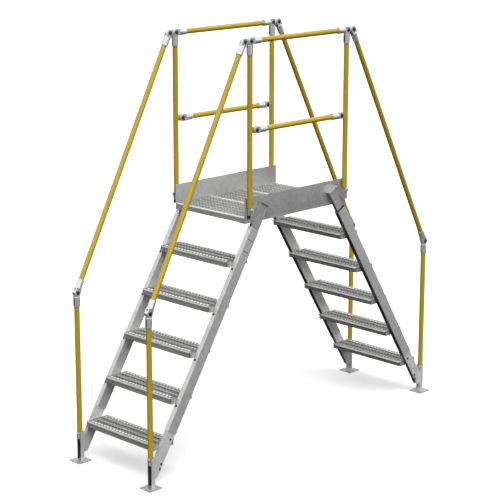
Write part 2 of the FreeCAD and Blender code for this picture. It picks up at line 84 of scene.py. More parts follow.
# Bolts through the front face of a stringer, one below each nosing.
STRINGER_FRONT, STRINGER_BOLT_Y = -0.038, 0.3235
BOLT_BELOW_NOSING, BOLTS_A_STRINGER = 0.025, 5
# Bolts of the legs, along the slope and square to it, then of the brackets and feet.
LEG_BOLTS = ((-1.421, -0.089), (-1.578, -0.095), (-1.608, -0.102))
BRACKET_BOLT, BRACKET_FACE_Y = (0.4400, 1.5755), 0.346
FOOT_BOLT_Z, SPIGOT_RADIUS = 0.182, 0.013
# Plates that close the stubs and legs: edges square to the slope, outer face and sheet.
COVER_FRONT, COVER_REAR = -0.0413, -0.1097
COVER_Y, COVER_SHEET = 0.3366, 0.0029
STUB_TOP, STUB_LOW, STUB_RECESS = 0.1268, -0.090, 0.0015
LEG_TOP, LEG_BACK_X, LEG_LOW_Z = -1.360, 1.2603, 0.058
LEG_CORNER, LEG_CORNER_STEPS = 0.022, 8
# Dark strips of painted shadow: two across the outer side of each left stringer, and one over
# each right stub for the shade in the tube's open end: from and to along the slope, front and
# rear, and Y from and to.
SHADOW_STRIPS = {-1: ((-0.1185, -0.1145, -0.048, -0.095, 0.3392, 0.3404),
              (-0.1965, -0.1925, -0.048, -0.095, 0.3392, 0.3404)),
         1: ((-0.0425, -0.0290, -0.0415, -0.1095, 0.3345, 0.3375),)}

# Rings of a raised grip, of the rear hump and of a sunk opening, from the sheet on: shares of
# length, width and height, and tone from -1 for dark to 1 for bright. None is the row's own.
# Painted light in the tones: highlights on grips and hump, shade in openings and the hump's foot.
GRIP_RINGS = ((1.0, 1.0, 0.0, 0.0), (0.90, 0.88, 0.55, None), (0.76, 0.72, 0.95, None),
              (0.62, 0.56, 1.0, None), (0.48, 0.42, 0.6, -0.8), (0.40, 0.34, 0.0, -1.0))
HUMP_RINGS = ((1.0, 1.0, 0.0, -0.6), (0.90, 0.85, 0.5, 0.3), (0.75, 0.60, 0.85, 1.0),
              (0.4, 0.2, 1.0, 1.0))
HOLE_RINGS = ((1.14, 1.16, 0.0, 0.05), (1.05, 1.06, -0.12, -0.8), (0.96, 0.95, -0.4, -1.0),
              (0.94, 0.93, -1.0, -1.0))
# Painted highlights on the tops of the grips: on a tread's nosing row, behind it and on the deck.
GRIP_HIGHLIGHTS = {"front": 1.0, "raised": 0.4, "deck_raised": 0.55}
# Colour factors of the darkest painted shade and the brightest painted highlight.
DARKEST_HOLE, BRIGHTEST_GRIP = 0.04, 4.2
# Tones of the folds, a painted highlight along each bend, of the skirt below them by share of
# its drop, lighter low down and painted shade at its foot, and of the whole deck.
TREAD_FOLD_TONE, DECK_FOLD_TONE = 0.4, 0.9
SKIRT_TONES = ((0.85, 0.3), (1.0, -0.6))
DECK_TONE_SHARE, DECK_TONE_LIFT = 0.8, 0.1
FOLD_STEPS, CORNER_STEPS = 4, 6
SHORTEST_STRIP, WELD_REACH = 0.01 * MM, 0.02 * MM
# End plates: place behind the skirt in sheets, gap below the top and tone; their return behind the
# skirt is painted shade.
PLATE_BEHIND, PLATE_BELOW, PLATE_TONE = 2.2, 0.2 * MM, 0.35

# Sides and small steps of the bolts.
ROUND_SIDES, CROWN_SIDES, THREAD_SIDES, DOME_STEPS = 24, 20, 16, 5
HEX_FLAT = math.cos(math.pi / 6)
CROWN = 0.3 * MM
THREAD_TURNS, THREAD_PITCH, THREAD_RISE, THREAD_LENGTH = 4, 1.5 * MM, 0.7 * MM, 6.6 * MM
# Angles in degrees above which an edge stays sharp.
SHEET_CREASE, BOLT_CREASE = 35, 30

# Hollows of the post brackets, with painted shade inside: middle and half size from the middle of
# the deck, colour left.
BEAM_HOLLOW = ((0.4349, 0.3280, 1.556), (0.0116, 0.0153, 0.060), 0.4)
FOOT_HOLLOW = ((1.2746, 0.3280, 0.108), (0.0116, 0.0153, 0.098), 0.13)
# Dipped finishes: brightness against the channel's, the foot's copy lighter as painted light for
# the brighter light near the floor; spangle contrast, metallic, colour left on surfaces that
# face up and down, darker on top and painted shade below; and the dark hollow, painted shade.
DIPPED = {"Galvanised channel": (1.0, 0.22, 0.7, (0.85, 1.0), BEAM_HOLLOW),
          "Galvanised tube": (1.45, 0.22, 0.7, (0.68, 0.2), BEAM_HOLLOW),
          "Galvanised foot": (1.6, 0.15, 0.5, (0.45, 0.3), FOOT_HOLLOW)}
DIPPED_CRYSTAL, DIPPED_CLOUD = 0.011, 0.32
SPANGLE_ROUGHNESS = (0.34, 0.50)
SLOT_FINISH = {"galvanised_frame": "Galvanised channel", "grip_planks": "Galvanised grip plank",
               "yellow_tube": "Yellow powder coat", "zinc_fittings": "Bright zinc fitting"}
# Finishes of nodes that differ from their slot's, by the first word of the name.
NODE_FINISH = {"foot": "Galvanised foot", "stringer": "Galvanised tube"}

CAMERA_PLACE = Vector((-7.436, -7.194, 3.750))
CAMERA_TARGET = Vector((0.0499, 0.1472, 1.1550))
CAMERA_ROLL, SENSOR_WIDTH = math.radians(0.09), 36.0
FLOOR_SEEN, FLOOR_UNSEEN = (0.8, 0.8, 0.8, 1), (0.015, 0.015, 0.015, 1)
FLOOR_DROP = 0.5 * MM
# Room light at the horizon and overhead, as shares of the fill, and how far up it grows.
HORIZON_SHARE, ZENITH_SHARE, DOME_TOP = 0.12, 1.1, 0.7
# Lamps: name, direction, spread in degrees and share of the key light.
LAMPS = (("Key light", (-0.30, -0.44, 0.85), 25.0, 1.0),
         ("Front light", (-0.1, -0.9, 0.28), 30.0, 0.45),
         ("Side light", (-0.8, 0.1, 1.1), 20.0, 0.12))
LAMP_REACH = 6.0


class GripPattern(bpy.types.PropertyGroup):
    """Piercings and raised grips of the treads and deck planks"""
    sheet: FloatProperty(
        name="Sheet", description="Sheet thickness", default=2.5 * MM, unit="LENGTH")
    pitch: FloatProperty(
        name="Pitch", description="From one opening to the next along a row",
        default=28 * MM, unit="LENGTH")
    row_step: FloatProperty(
        name="Row step", description="From one row to the next", default=25.4 * MM, unit="LENGTH")
    first_row: FloatProperty(
        name="First row", description="Nosing to the middle of a tread's first row",
        default=29 * MM, unit="LENGTH")
    plain_end: FloatProperty(
        name="Plain end", description="Sheet left plain at both ends of the rows",
        default=25 * MM, unit="LENGTH")
    hole_length: FloatProperty(
        name="Hole length", description="Sunk opening along its row",
        default=22 * MM, unit="LENGTH")
    hole_width: FloatProperty(
        name="Hole width", description="Sunk opening across its row",
        default=18 * MM, unit="LENGTH")
    grip_length: FloatProperty(
        name="Grip length", description="Raised grip along its row", default=19 * MM, unit="LENGTH")
    grip_width: FloatProperty(
        name="Grip width", description="Raised grip across its row", default=16 * MM, unit="LENGTH")
    grip_height: FloatProperty(
        name="Grip height", description="Raised grip above the sheet",
        default=5 * MM, unit="LENGTH")
    hump_width: FloatProperty(
        name="Hump width", description="Hump of the rear edge across its row",
        default=9 * MM, unit="LENGTH")
    sink: FloatProperty(
        name="Sink", description="Depth of the turned-down rim of an opening",
        default=7 * MM, unit="LENGTH")
    bend: FloatProperty(
        name="Bend", description="Outer radius of the folds", default=5 * MM, unit="LENGTH")
    deck_share: FloatProperty(
        name="Deck share", description="Openings and grips of the deck against those of the treads",
        default=0.78, min=0.3, max=1)
    slit: FloatProperty(
        name="Slit", description="End of a tread to the end of its front skirt",
        default=14 * MM, unit="LENGTH")
    corner: FloatProperty(
        name="Corner", description="Outer radius of the end plates' corners",
        default=9 * MM, unit="LENGTH")
    lip: FloatProperty(
        name="Lip", description="Return of an end plate behind the front skirt",
        default=26 * MM, unit="LENGTH")
    segments: IntProperty(
        name="Segments", description="Sides of one opening", default=16, min=8, max=32)


class BoltSizes(bpy.types.PropertyGroup):
    """Bolts that hold the channels and posts"""
    across: FloatProperty(
        name="Across flats", description="Hexagon head across its flats",
        default=17 * MM, unit="LENGTH")
    head: FloatProperty(
        name="Head", description="Height of a hexagon head", default=6.5 * MM, unit="LENGTH")
    washer: FloatProperty(
        name="Washer", description="Outside diameter of a washer", default=22 * MM, unit="LENGTH")
    washer_sheet: FloatProperty(
        name="Washer sheet", description="Thickness of a washer", default=2 * MM, unit="LENGTH")
    shank: FloatProperty(
        name="Shank", description="Diameter of the threaded end", default=10 * MM, unit="LENGTH")
    swivel_across: FloatProperty(
        name="Swivel head", description="Head of a swivel bolt across its flats",
        default=18.5 * MM, unit="LENGTH")
    swivel_washer: FloatProperty(
        name="Swivel washer", description="Diameter of the washer under a swivel bolt's head",
        default=25 * MM, unit="LENGTH")
    swivel_head: FloatProperty(
        name="Swivel head height", description="Height of a swivel bolt's head",
        default=6.5 * MM, unit="LENGTH")
    dome: FloatProperty(
        name="Round head", description="Diameter of a domed head", default=15 * MM, unit="LENGTH")
    dome_height: FloatProperty(
        name="Round head height", description="Height of a domed head",
        default=5 * MM, unit="LENGTH")


class PlatformFinish(bpy.types.PropertyGroup):
    """Colours of the platform's finishes"""
    galvanised: FloatVectorProperty(
        name="Galvanised", description="Hot-dip galvanised channel", subtype="COLOR",
        size=4, min=0, max=1, default=(0.53, 0.536, 0.53, 1))
    plank: FloatVectorProperty(
        name="Grip plank", description="Galvanised treads and planks", subtype="COLOR",
        size=4, min=0, max=1, default=(0.255, 0.258, 0.25, 1))
    yellow: FloatVectorProperty(
        name="Yellow", description="Powder coat of the rails", subtype="COLOR",
        size=4, min=0, max=1, default=(0.55, 0.372, 0.018, 1))
    zinc: FloatVectorProperty(
        name="Zinc", description="Bright plated fittings", subtype="COLOR",
        size=4, min=0, max=1, default=(0.76, 0.77, 0.78, 1))


class StudioSettings(bpy.types.PropertyGroup):
    """Camera, floor and lamps"""
    lens: FloatProperty(
        name="Lens", description="Focal length on a 36 mm sensor", default=118.34,
        min=20, subtype="DISTANCE_CAMERA")
    floor_size: FloatProperty(
        name="Floor", description="Side of the square floor", default=60.0, unit="LENGTH")
    key: FloatProperty(
        name="Key light", description="Strength of the soft light from above", default=1.75, min=0)
    fill: FloatProperty(
        name="Fill", description="Strength of the room's light", default=0.95, min=0)
    glow: FloatProperty(
        name="Floor glow", description="Light added to the floor that the camera sees",
        default=0.25, min=0)


# Colour sockets of Blender's Mix node, which has one set for each kind of data.
COLOUR_A, COLOUR_B, COLOUR_RESULT = 6, 7, 2
COLOUR, VALUE, VECTOR = "NodeSocketColor", "NodeSocketFloat", "NodeSocketVector"


def slot_of(node):
    """The record's material slot of a CAD node."""
    for part in frame["record"]["subparts"]:
        if part["node"] == node:
            return part["material_slot"]
    raise RuntimeError("no slot for %s" % node)


def tinted(colour, factor):
    """A colour made lighter or darker, at most white."""
    return [min(1.0, part * factor) for part in colour[:3]] + [1]


def feed(tree, node, inputs):
    """Gives each named input a value, or a link from another node's output."""
    for socket, given in inputs:
        if isinstance(given, bpy.types.NodeSocket):
            tree.links.new(given, node.inputs[socket])
        else:
            node.inputs[socket].default_value = given


def add_node(tree, kind, inputs=(), **settings):
    """A node with its settings and inputs."""
    node = tree.nodes.new(kind)
    for key, value in settings.items():
        setattr(node, key, value)
    feed(tree, node, inputs)
    return node


def new_group(name, inputs, outputs):
    """A shader node group with named sockets; returns it with its input and output nodes."""
    group = bpy.data.node_groups.new(name, "ShaderNodeTree")
    for label, kind, default in inputs:
        socket = group.interface.new_socket(label, in_out="INPUT", socket_type=kind)
        socket.default_value = default
    for label, kind in outputs:
        group.interface.new_socket(label, in_out="OUTPUT", socket_type=kind)
    return group, group.nodes.new("NodeGroupInput").outputs, group.nodes.new("NodeGroupOutput")


def combined(tree, operation, first, second, **settings):
    """Two values or sockets put through one sum."""
    return add_node(tree, "ShaderNodeMath", [(0, first), (1, second)],
                    operation=operation, **settings).outputs[0]


def product(tree, first, second):
    return combined(tree, "MULTIPLY", first, second)


def moved(tree, operation, *inputs):
    """Vectors put through one sum."""
    return add_node(tree, "ShaderNodeVectorMath", enumerate(inputs),
                    operation=operation).outputs["Vector"]


def stretched(tree, source, low, high, to_low, to_high):
    """A value spread from one range to another."""
    return add_node(tree, "ShaderNodeMapRange", [
        ("Value", source), ("From Min", low), ("From Max", high),
        ("To Min", to_low), ("To Max", to_high)]).outputs["Result"]


def blended(tree, factor, first, second):
    """A colour between two."""
    return add_node(tree, "ShaderNodeMix", [(0, factor), (COLOUR_A, first), (COLOUR_B, second)],
                    data_type="RGBA").outputs[COLOUR_RESULT]


def shaded(tree, colour, factor):
    """A colour made lighter or darker by a factor that changes over the surface."""
    return add_node(tree, "ShaderNodeVectorMath", [(0, colour), ("Scale", factor)],
                    operation="SCALE").outputs["Vector"]


def surface(tree):
    """Place, facing and curvature of the surface."""
    return add_node(tree, "ShaderNodeNewGeometry").outputs


def noise(tree, where, scale, detail, roughness=0.5):
    return add_node(tree, "ShaderNodeTexNoise", [
        ("Vector", where), ("Scale", scale), ("Detail", detail), ("Roughness", roughness)]).outputs


def make_spangle_group():
    """Zinc crystals and the soft clouds between them on dipped steel."""
    group, given, made = new_group(
        "Zinc spangle",
        [("Colour", COLOUR, (0.4, 0.4, 0.4, 1)), ("Crystal size", VALUE, 0.012),
         ("Contrast", VALUE, 0.2), ("Cloud", VALUE, 0.2)],
        [("Colour", COLOUR), ("Roughness", VALUE), ("Height", VALUE)])
    where = surface(group)["Position"]
    ragged = noise(group, where, 60.0, 2.0)["Color"]
    warped = moved(group, "ADD", where, shaded(group, ragged, 0.006))
    scale = combined(group, "DIVIDE", 1.0, given["Crystal size"])
    crystal = add_node(group, "ShaderNodeTexVoronoi", [
        ("Vector", warped), ("Scale", scale)]).outputs
    tone = add_node(group, "ShaderNodeSeparateColor", [("Color", crystal["Color"])]).outputs
    cloud = noise(group, where, 7.0, 4.0, 0.6)["Fac"]
    streak = noise(group, where, 26.0, 3.0)["Fac"]
    grain = product(group, stretched(group, tone["Red"], 0.0, 1.0, -0.5, 0.5), given["Contrast"])
    mist = combined(group, "ADD", stretched(group, cloud, 0.3, 0.7, -0.5, 0.5),
                    stretched(group, streak, 0.3, 0.7, -0.3, 0.3))
    both = combined(group, "ADD", grain, product(group, mist, given["Cloud"]))
    level = combined(group, "ADD", 1.0, both)
    feed(group, made, [("Colour", shaded(group, given["Colour"], level)),
                       ("Roughness", stretched(group, tone["Green"], 0.0, 1.0, *SPANGLE_ROUGHNESS)),
                       ("Height", crystal["Distance"])])
    return group


def make_wear_group():
    """Scuffs: rubbed on the proud edges and in scattered spots."""
    group, given, made = new_group(
        "Handling wear",
        [("Colour", COLOUR, (0.5, 0.5, 0.5, 1)), ("Rubbed", COLOUR, (0.7, 0.7, 0.7, 1)),
         ("Amount", VALUE, 0.5), ("Speckle size", VALUE, 0.01)],
        [("Colour", COLOUR)])
    skin = surface(group)
    scale = combined(group, "DIVIDE", 1.0, given["Speckle size"])
    speckle = noise(group, skin["Position"], scale, 4.0, 0.7)["Fac"]
    proud = stretched(group, skin["Pointiness"], 0.51, 0.60, 0.0, 1.0)
    spots = stretched(group, speckle, 0.62, 0.72, 0.0, 1.0)
    mask = product(group, combined(group, "MAXIMUM", proud, spots, use_clamp=True), given["Amount"])
    feed(group, made, [("Colour", blended(group, mask, given["Colour"], given["Rubbed"]))])
    return group


def make_hollow_shade_group():
    """Painted shade inside the post brackets, which open sideways."""
    group, given, made = new_group(
        "Painted hollow shade",
        [("Colour", COLOUR, (0.5, 0.5, 0.5, 1)), ("Middle", VECTOR, (0, 0, 0)),
         ("Reach", VECTOR, (1, 1, 1)), ("Left", VALUE, 0.2)],
        [("Colour", COLOUR)])
    folded = moved(group, "ABSOLUTE", surface(group)["Position"])
    offset = moved(group, "ABSOLUTE", moved(group, "SUBTRACT", folded, given["Middle"]))
    share = add_node(group, "ShaderNodeSeparateXYZ", [
        ("Vector", moved(group, "DIVIDE", offset, given["Reach"]))]).outputs
    widest = combined(group, "MAXIMUM", share["X"], share["Y"])
    widest = combined(group, "MAXIMUM", widest, share["Z"])
    level = stretched(group, widest, 0.98, 1.0, given["Left"], 1.0)
    feed(group, made, [("Colour", shaded(group, given["Colour"], level))])
    return group


def make_peel_group():
    """Faint waviness and tone of baked powder coat."""
    group, given, made = new_group(
        "Powder peel",
        [("Colour", COLOUR, (0.6, 0.4, 0.03, 1)), ("Peel size", VALUE, 0.0025),
         ("Drift", VALUE, 0.1)],
        [("Colour", COLOUR), ("Roughness", VALUE), ("Height", VALUE)])
    where = surface(group)["Position"]
    peel = noise(group, where, combined(group, "DIVIDE", 1.0, given["Peel size"]), 2.0)["Fac"]
    drift = stretched(group, noise(group, where, 5.0, 3.0)["Fac"], 0.3, 0.7, -1.0, 1.0)
    level = combined(group, "ADD", 1.0, product(group, drift, given["Drift"]))
    feed(group, made, [("Colour", shaded(group, given["Colour"], level)),
                       ("Roughness", stretched(group, peel, 0.3, 0.7, 0.30, 0.42)),
                       ("Height", peel)])
    return group


def new_material(name, metallic):
    """A material with its name and metallic set; returns its tree and shader."""
    material = bpy.data.materials.new(name)
    material.use_nodes = True
    tree = material.node_tree
    shader = tree.nodes["Principled BSDF"]
    shader.inputs["Metallic"].default_value = metallic
    return tree, shader


def use_group(tree, group, *inputs):
    """A group in a material, with its inputs; returns its outputs."""
    return add_node(tree, "ShaderNodeGroup", inputs, node_tree=group).outputs


def use_spangle(tree, groups, colour, size, contrast, cloud):
    return use_group(tree, groups["spangle"], ("Colour", colour), ("Crystal size", size),
                     ("Contrast", contrast), ("Cloud", cloud))


def coat(tree, shader, colour, roughness, height, strength, depth):
    """Colour, roughness and fine relief of a finish."""
    bump = add_node(tree, "ShaderNodeBump", [
        ("Strength", strength), ("Distance", depth), ("Height", height)])
    feed(tree, shader, [("Base Color", colour), ("Roughness", roughness),
                        ("Normal", bump.outputs["Normal"])])


def dipped_steel(name, colour, contrast, metallic, left, hollow, groups):
    """Hot-dip galvanised steel, scuffed on its edges, darker on top, with painted shade below and
    in the brackets' hollows.
    """
    tree, shader = new_material(name, metallic)
    spangle = use_spangle(tree, groups, colour, DIPPED_CRYSTAL, contrast, DIPPED_CLOUD)
    wear = use_group(tree, groups["wear"], ("Colour", spangle["Colour"]),
                     ("Rubbed", tinted(colour, 1.5)), ("Amount", 0.45))
    # Painted shade inside a post bracket's hollow.
    shelter = use_group(tree, groups["shelter"], ("Colour", wear["Colour"]),
                        *zip(("Middle", "Reach", "Left"), hollow))
    # Colour by facing: darker on top, painted shade on faces that turn down.
    facing = add_node(tree, "ShaderNodeSeparateXYZ", [
        ("Vector", surface(tree)["Normal"])]).outputs["Z"]
    above, below = left
    facing_shade = product(tree, stretched(tree, facing, 0.0, 0.6, 1.0, above),
                   stretched(tree, facing, -0.5, 0.0, below, 1.0))
    coat(tree, shader, shaded(tree, shelter["Colour"], facing_shade), spangle["Roughness"],
         spangle["Height"], 0.12, 0.4 * MM)


def grip_steel(name, colour, groups):
    """Galvanised treads and planks: painted highlights on the grips, painted shade inside the
    openings.
    """
    tree, shader = new_material(name, 0.5)
    spangle = use_spangle(tree, groups, colour, 0.007, 0.2, 0.2)
    # The grip tone paints light into the colour: painted shade below 0, painted highlights above.
    tone = add_node(tree, "ShaderNodeAttribute", attribute_name="grip").outputs["Fac"]
    level = product(tree, stretched(tree, tone, -1.0, 0.0, DARKEST_HOLE, 1.0),
                    stretched(tree, tone, 0.0, 1.0, 1.0, BRIGHTEST_GRIP))
    coat(tree, shader, shaded(tree, spangle["Colour"], level), spangle["Roughness"],
         spangle["Height"], 0.12, 0.4 * MM)


def powder_coat(name, colour, groups):
    """Semi-gloss yellow coat on steel tube."""
    tree, shader = new_material(name, 0.0)
    peel = use_group(tree, groups["peel"], ("Colour", colour), ("Drift", 0.06))
    wear = use_group(tree, groups["wear"], ("Colour", peel["Colour"]),
                     ("Rubbed", tinted(colour, 0.55)), ("Amount", 0.3))
    shader.inputs["Specular IOR Level"].default_value = 0.6
    coat(tree, shader, wear["Colour"], peel["Roughness"], peel["Height"], 0.15, 0.2 * MM)


def bright_zinc(name, colour, roughness, groups):
    """Plated malleable fittings and bolts."""
    tree, shader = new_material(name, 0.55)
    spangle = use_spangle(tree, groups, colour, 0.003, 0.05, 0.1)
    rough = stretched(tree, spangle["Roughness"], *SPANGLE_ROUGHNESS, roughness, roughness + 0.12)
    coat(tree, shader, spangle["Colour"], rough, spangle["Height"], 0.08, 0.2 * MM)


def blackened_bolt(name):
    """Dark bolt heads with an oil finish; the same material makes the painted shadow strips and the
    painted slot shade.
    """
    tree, shader = new_material(name, 0.8)
    oil = noise(tree, surface(tree)["Position"], 400.0, 3.0)["Fac"]
    ramp = add_node(tree, "ShaderNodeValToRGB", [("Fac", oil)])
    for stop, grey in zip(ramp.color_ramp.elements, (0.02, 0.09)):
        stop.color = (grey, grey, grey, 1)
    feed(tree, shader, [("Base Color", ramp.outputs["Color"]),
                        ("Roughness", stretched(tree, oil, 0.3, 0.7, 0.35, 0.55))])


def material_of(slot):
    return bpy.data.materials[SLOT_FINISH[slot]]


def piece_of_mesh(name, mesh, slot, material=None):
    """A mesh as a piece of the platform."""
    item = bpy.data.objects.new(name, mesh)
    bpy.context.scene.collection.objects.link(item)
    if not mesh.materials:
        mesh.materials.append(material or material_of(slot))
    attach(item, BODY)
    return item


def mesh_of(name, bm):
    mesh = bpy.data.meshes.new(name)
    bm.to_mesh(mesh)
    bm.free()
    return mesh


def finished_piece(name, bm, slot, material=None):
    return piece_of_mesh(name, mesh_of(name, bm), slot, material)


def smooth_by_angle(item, degrees):
    """Smooth shading with the creases kept sharp."""
    item.data.shade_smooth()
    item.data.set_sharp_from_angle(angle=math.radians(degrees))


def unit_points(count):
    """Points round a unit circle, half a step off the axes."""
    turns = [2 * math.pi * (step + 0.5) / count for step in range(count)]
    return [(math.cos(turn), math.sin(turn)) for turn in turns]


def oval(length, width, count):
    """Points of a slot with round ends, its long side along Y."""
    radius = min(length, width) / 2
    reach_x, reach_y = width / 2 - radius, length / 2 - radius
    return [(math.copysign(reach_x, x) + radius * x, math.copysign(reach_y, y) + radius * y)
            for x, y in unit_points(count)]


def cell_border(width, height, count):
    """Points on a rectangle's border, in step with the points of an oval inside it."""
    points = []
    for x, y in unit_points(count):
        grow = 0.5 / max(abs(x), abs(y))
        points.append((x * width * grow, y * height * grow))
    return points


def ring_faces(bm, outer, inner):
    """Faces between two closed loops of the same count."""
    count = len(outer)
    return [bm.faces.new((outer[step], outer[(step + 1) % count],
                          inner[(step + 1) % count], inner[step])) for step in range(count)]


def grip_rings(kind, grip, share):
    """Rings of one opening or grip from its foot: length, width, height and tone."""
    if kind == "hump":
        rings, size = HUMP_RINGS, (grip.grip_length, grip.hump_width, grip.grip_height)
    elif kind == "hole":
        rings, size = HOLE_RINGS, (grip.hole_length * share, grip.hole_width * share, grip.sink)
    else:
        rings, size = GRIP_RINGS, (grip.grip_length * share, grip.grip_width * share,
                                   grip.grip_height * share)
    return [(size[0] * length, size[1] * width, size[2] * height,
             GRIP_HIGHLIGHTS[kind] if tone is None else tone) for length, width, height, tone in rings]


def add_cell(bm, tone, centre, size, kind, grip, share):
    """One opening or raised grip with the sheet around it; X runs across the row."""
    count = grip.segments
    x, y = centre
    width, height = size
    border = [bm.verts.new((x + px, y + py, 0.0)) for px, py in cell_border(width, height, count)]
    quarter = count // 4
    corners = [bm.verts.new((x + sx * width / 2, y + sy * height / 2, 0.0))
               for sx, sy in ((1, 1), (-1, 1), (-1, -1), (1, -1))]
    for index, corner in enumerate(corners):
        first = (quarter * index + quarter // 2 - 1) % count
        bm.faces.new((border[first], corner, border[(first + 1) % count]))
    previous = border
    for length, across, z, shade in grip_rings(kind, grip, share):
        ring = [bm.verts.new((x + px, y + py, z)) for px, py in oval(length, across, count)]
        # Each ring's painted tone: highlight on the grips, shade in the openings.
        for vert in ring:
            vert[tone] = shade * share
        ring_faces(bm, previous, ring)
        previous = ring
    if kind == "hump":
        bm.faces.new(previous)


def grip_rows(depth, grip, is_tread):
    """Middle, width and kind of each row from the nosing, and where the rows start and end."""
    if is_tread:
        start = grip.first_row - grip.row_step / 2
        count = int((depth - grip.bend - start) // grip.row_step)
    else:
        count = int((depth - 3 * grip.bend) // grip.row_step)
        start = (depth - count * grip.row_step) / 2
    kinds = [("hole" if index % 2 else "raised" if is_tread else "deck_raised") for index in range(count)]
    if is_tread:
        kinds[0] = "front"
    rows = [(start + (index + 0.5) * grip.row_step, grip.row_step, kind)
            for index, kind in enumerate(kinds)]
    end = start + count * grip.row_step
    rest = depth - grip.bend - end
    if is_tread and rest > grip.hump_width:
        rows.append((end + rest / 2, rest, "hump"))
        end += rest
    return rows, start, end


def row_shift(kind, grip):
    """Shift of a row along itself, so that openings and grips alternate."""
    return (0.25 if kind in GRIP_HIGHLIGHTS else -0.25) * grip.pitch


def fold_profile(reach, drop, radius, lip_highlight):
    """A fold's outline from the sheet's edge down to the skirt's foot: X, Z and tone, a painted
    highlight round the bend and painted shade at the skirt's foot.
    """
    points = [(0.0, 0.0, 0.0)]
    for step in range(FOLD_STEPS + 1):
        turn = math.pi / 2 * step / FOLD_STEPS
        points.append((reach + radius * math.sin(turn), -radius * (1 - math.cos(turn)),
                       lip_highlight * math.cos(turn)))
    return points + [(reach + radius, -drop * share, tone) for share, tone in SKIRT_TONES]


def add_strip(bm, tone, first, second, ends):
    """A flat strip between two points of the outline, along Y."""
    low, high = ends
    verts = []
    for (x, z, shade), y in ((first, low), (first, high), (second, high), (second, low)):
        vert = bm.verts.new((x, y, z))
        vert[tone] = shade
        verts.append(vert)
    bm.faces.new(verts)


def grip_sheet(depth, span, drop, grip, is_tread):
    """Folded sheet with its rows of openings; X from the nosing on, Y about the middle."""
    bm = bmesh.new()
    tone = bm.verts.layers.float.new("grip")
    rows, start_x, end_x = grip_rows(depth, grip, is_tread)
    columns = int((span - 2 * grip.plain_end) // grip.pitch)
    margin = (span - columns * grip.pitch) / 2
    low, high = -span / 2, span / 2
    share = 1.0 if is_tread else grip.deck_share
    for x, width, kind in rows:
        shift = row_shift(kind, grip)
        for column in range(columns):
            y = low + margin + (column + 0.5) * grip.pitch
            add_cell(bm, tone, (x, y + shift), (width, grip.pitch), kind, grip, share)
    for x, width, kind in rows:
        shift = row_shift(kind, grip)
        for ends in ((low, low + margin + shift), (high - margin + shift, high)):
            add_strip(bm, tone, (x - width / 2, 0.0, 0.0), (x + width / 2, 0.0, 0.0), ends)
    # Painted highlight along the folds.
    lip_highlight = TREAD_FOLD_TONE if is_tread else DECK_FOLD_TONE
    for edge_x, outward, reach in ((start_x, -1, start_x - grip.bend),
                                   (end_x, 1, depth - end_x - grip.bend)):
        profile = [(edge_x + outward * x, z, shade)
                   for x, z, shade in fold_profile(reach, drop, grip.bend, lip_highlight)]
        for first, second in zip(profile, profile[1:]):
            inset = grip.slit if outward < 0 and is_tread and second[1] < first[1] else 0.0
            if abs(first[0] - second[0]) + abs(first[1] - second[1]) > SHORTEST_STRIP:
                add_strip(bm, tone, first, second, (low + inset, high - inset))
    bmesh.ops.remove_doubles(bm, verts=bm.verts, dist=WELD_REACH)
    # The deck's painted tones are scaled down by a share and lifted by a set tone.
    if not is_tread:
        for vert in bm.verts:
            vert[tone] = vert[tone] * DECK_TONE_SHARE + DECK_TONE_LIFT
    bmesh.ops.recalc_face_normals(bm, faces=bm.faces)
    if sum(face.normal.z * face.calc_area() for face in bm.faces) < 0:
        bmesh.ops.reverse_faces(bm, faces=bm.faces)
    return bm


def thickened(name, bm, sheet):
    """A sheet given its thickness inwards, as a finished mesh."""
    item = bpy.data.objects.new(name, mesh_of(name, bm))
    bpy.context.scene.collection.objects.link(item)
    solid = item.modifiers.new("Thickness", "SOLIDIFY")
    solid.thickness = sheet
    solid.offset = -1
    solid.use_even_offset = True
    bpy.context.view_layer.update()
    graph = bpy.context.evaluated_depsgraph_get()
    made = bpy.data.meshes.new_from_object(item.evaluated_get(graph))
    made.name = name
    bpy.data.objects.remove(item)
    return made


def pan_mesh(name, size, is_tread):
    """A tread or plank: the pierced folded sheet and its two end plates."""
    grip = bpy.context.scene.platform_grip
    depth, span, drop = size
    mesh = thickened(name, grip_sheet(depth, span, drop, grip, is_tread), grip.sheet)
    bm = bmesh.new()
    bm.from_mesh(mesh)
    for side in (-1, 1):
        add_end_plate(bm, depth, span, drop, grip, side)
    bm.to_mesh(mesh)
    bm.free()
    mesh.materials.append(material_of("grip_planks"))
    return mesh


def end_plate_path(depth, span, grip):
    """Outline of an end plate from above: its return behind the skirt, both corners and the end."""
    corner, behind = grip.corner, grip.sheet * PLATE_BEHIND
    path = [(behind, span / 2 - grip.lip), (behind, span / 2 - grip.slit - grip.sheet)]
    for centre_x, base in ((corner, math.pi), (depth - corner, math.pi / 2)):
        for step in range(CORNER_STEPS + 1):
            turn = base - math.pi / 2 * step / CORNER_STEPS
            path.append((centre_x + corner * math.cos(turn),
                         span / 2 - corner + corner * math.sin(turn)))
    return path


